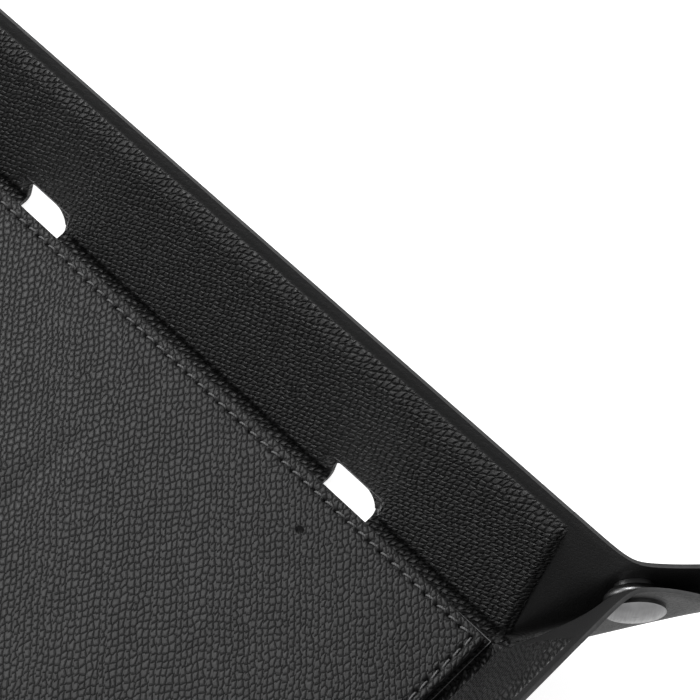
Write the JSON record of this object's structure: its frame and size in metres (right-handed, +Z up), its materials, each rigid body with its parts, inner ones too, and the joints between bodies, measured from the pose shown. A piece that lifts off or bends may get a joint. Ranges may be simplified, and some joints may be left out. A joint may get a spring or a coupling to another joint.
{
  "type": "folding dice tray",
  "caption": "Rectangular folding dice tray: a stiffened leather sheet whose walls fold up and are held by a snap in each pinched corner ear.",
  "frame": {"origin": "middle of the tray's footprint at the underside of its base", "axes": "+X along the long side of the tray, +Y along the short side, +Z up out of the tray's mouth"},
  "size_m": [0.2574, 0.2008, 0.0392],
  "materials": {
    "outer_leather": "satin",
    "lining_leather": "satin",
    "pad_leather": "satin",
    "thread": "matte",
    "foam": "matte",
    "greyboard": "matte",
    "snap_metal": "satin"
  },
  "bodies": {
    "base": {"base_cover": "outer_leather", "base_board": "greyboard", "base_lining": "lining_leather", "pad_cover": "pad_leather", "pad_core": "foam", "pad_thread": "thread"},
    "wall_back": {"wall_back_cover": "outer_leather", "wall_back_board": "greyboard", "wall_back_lining": "lining_leather"},
    "wall_left": {"wall_left_cover": "outer_leather", "wall_left_board": "greyboard", "wall_left_lining": "lining_leather"},
    "wall_front": {"wall_front_cover": "outer_leather", "wall_front_board": "greyboard", "wall_front_lining": "lining_leather"},
    "wall_right": {"wall_right_cover": "outer_leather", "wall_right_board": "greyboard", "wall_right_lining": "lining_leather"},
    "flap_back_right_long": {"flap_back_right_long_lining": "lining_leather", "flap_back_right_long_cover": "outer_leather", "snap_back_right_stud": "snap_metal", "snap_back_right_eyelet": "snap_metal"},
    "flap_back_right_short": {"flap_back_right_short_lining": "lining_leather", "flap_back_right_short_cover": "outer_leather", "snap_back_right_cap": "snap_metal", "snap_back_right_socket": "snap_metal"},
    "flap_back_left_long": {"flap_back_left_long_lining": "lining_leather", "flap_back_left_long_cover": "outer_leather", "snap_back_left_stud": "snap_metal", "snap_back_left_eyelet": "snap_metal"},
    "flap_back_left_short": {"flap_back_left_short_lining": "lining_leather", "flap_back_left_short_cover": "outer_leather", "snap_back_left_cap": "snap_metal", "snap_back_left_socket": "snap_metal"},
    "flap_front_left_long": {"flap_front_left_long_lining": "lining_leather", "flap_front_left_long_cover": "outer_leather", "snap_front_left_stud": "snap_metal", "snap_front_left_eyelet": "snap_metal"},
    "flap_front_left_short": {"flap_front_left_short_lining": "lining_leather", "flap_front_left_short_cover": "outer_leather", "snap_front_left_cap": "snap_metal", "snap_front_left_socket": "snap_metal"},
    "flap_front_right_long": {"flap_front_right_long_lining": "lining_leather", "flap_front_right_long_cover": "outer_leather", "snap_front_right_stud": "snap_metal", "snap_front_right_eyelet": "snap_metal"},
    "flap_front_right_short": {"flap_front_right_short_lining": "lining_leather", "flap_front_right_short_cover": "outer_leather", "snap_front_right_cap": "snap_metal", "snap_front_right_socket": "snap_metal"}
  },
  "joints": [
    {"name": "wall_back_fold", "type": "hinge", "parent": "base", "child": "wall_back", "pos_m": [0, 0.0685, 0.0006], "axis": [-1, 0, 0], "range_deg": [0, 62]},
    {"name": "wall_left_fold", "type": "hinge", "parent": "base", "child": "wall_left", "pos_m": [-0.09675, 0, 0.0006], "axis": [0, -1, 0], "range_deg": [0, 62]},
    {"name": "wall_front_fold", "type": "hinge", "parent": "base", "child": "wall_front", "pos_m": [0, -0.0685, 0.0006], "axis": [1, 0, 0], "range_deg": [0, 62]},
    {"name": "wall_right_fold", "type": "hinge", "parent": "base", "child": "wall_right", "pos_m": [0.09675, 0, 0.0006], "axis": [0, 1, 0], "range_deg": [0, 62]},
    {"name": "flap_back_right_long_crease", "type": "hinge", "parent": "wall_back", "child": "flap_back_right_long", "pos_m": [0.09336, 0.0685, 0.0006], "axis": [-0.3508, -0.3508, -0.8683], "range_deg": [0, 49.04]},
    {"name": "flap_back_right_short_crease", "type": "hinge", "parent": "wall_right", "child": "flap_back_right_short", "pos_m": [0.09675, 0.06511, 0.0006], "axis": [0.3508, 0.3508, 0.8683], "range_deg": [0, 49.04]},
    {"name": "flap_back_left_long_crease", "type": "hinge", "parent": "wall_back", "child": "flap_back_left_long", "pos_m": [-0.09336, 0.0685, 0.0006], "axis": [-0.3508, 0.3508, 0.8683], "range_deg": [0, 49.04]},
    {"name": "flap_back_left_short_crease", "type": "hinge", "parent": "wall_left", "child": "flap_back_left_short", "pos_m": [-0.09675, 0.06511, 0.0006], "axis": [0.3508, -0.3508, -0.8683], "range_deg": [0, 49.04]},
    {"name": "flap_front_left_long_crease", "type": "hinge", "parent": "wall_front", "child": "flap_front_left_long", "pos_m": [-0.09336, -0.0685, 0.0006], "axis": [0.3508, 0.3508, -0.8683], "range_deg": [0, 49.04]},
    {"name": "flap_front_left_short_crease", "type": "hinge", "parent": "wall_left", "child": "flap_front_left_short", "pos_m": [-0.09675, -0.06511, 0.0006], "axis": [-0.3508, -0.3508, 0.8683], "range_deg": [0, 49.04]},
    {"name": "flap_front_right_long_crease", "type": "hinge", "parent": "wall_front", "child": "flap_front_right_long", "pos_m": [0.09336, -0.0685, 0.0006], "axis": [0.3508, -0.3508, 0.8683], "range_deg": [0, 49.04]},
    {"name": "flap_front_right_short_crease", "type": "hinge", "parent": "wall_right", "child": "flap_front_right_short", "pos_m": [0.09675, -0.06511, 0.0006], "axis": [-0.3508, 0.3508, -0.8683], "range_deg": [0, 49.04]}
  ],
  "couplings": [
    {"joint": "wall_left_fold", "follows": "wall_back_fold", "ratio": 1},
    {"joint": "wall_front_fold", "follows": "wall_back_fold", "ratio": 1},
    {"joint": "wall_right_fold", "follows": "wall_back_fold", "ratio": 1},
    {"joint": "flap_back_right_long_crease", "follows": "wall_back_fold", "ratio": 0.79086},
    {"joint": "flap_back_right_short_crease", "follows": "wall_back_fold", "ratio": 0.79086},
    {"joint": "flap_back_left_long_crease", "follows": "wall_back_fold", "ratio": 0.79086},
    {"joint": "flap_back_left_short_crease", "follows": "wall_back_fold", "ratio": 0.79086},
    {"joint": "flap_front_left_long_crease", "follows": "wall_back_fold", "ratio": 0.79086},
    {"joint": "flap_front_left_short_crease", "follows": "wall_back_fold", "ratio": 0.79086},
    {"joint": "flap_front_right_long_crease", "follows": "wall_back_fold", "ratio": 0.79086},
    {"joint": "flap_front_right_short_crease", "follows": "wall_back_fold", "ratio": 0.79086}
  ]
}
